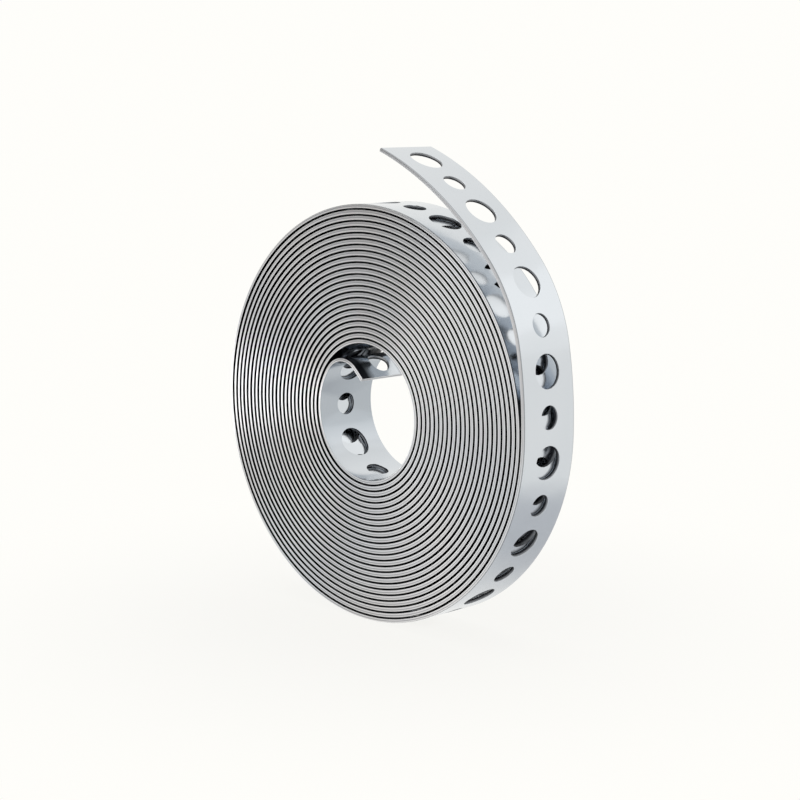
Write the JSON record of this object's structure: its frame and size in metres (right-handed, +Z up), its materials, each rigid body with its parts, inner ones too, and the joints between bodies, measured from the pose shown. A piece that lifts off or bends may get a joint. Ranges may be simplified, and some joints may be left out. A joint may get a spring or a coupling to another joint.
{
  "type": "coil of perforated steel strap",
  "caption": "Coil of flat steel strap punched with large and small round holes in turn, its outer end sprung loose; cut to length to hang or tie pipes, joists and framing.",
  "frame": {"origin": "on the floor under the axis of the coil's lower half turns, midway across the strap's width", "axes": "+Y along the coil's axis, away from the end face seen in the picture; +Z up; +X towards the side where the loose end springs off"},
  "size_m": [0.1174, 0.02, 0.1319],
  "materials": {
    "strap_steel": "bright zinc-plated steel with sheared edges"
  },
  "bodies": {
    "root": {"strap": "strap_steel"}
  },
  "joints": []
}
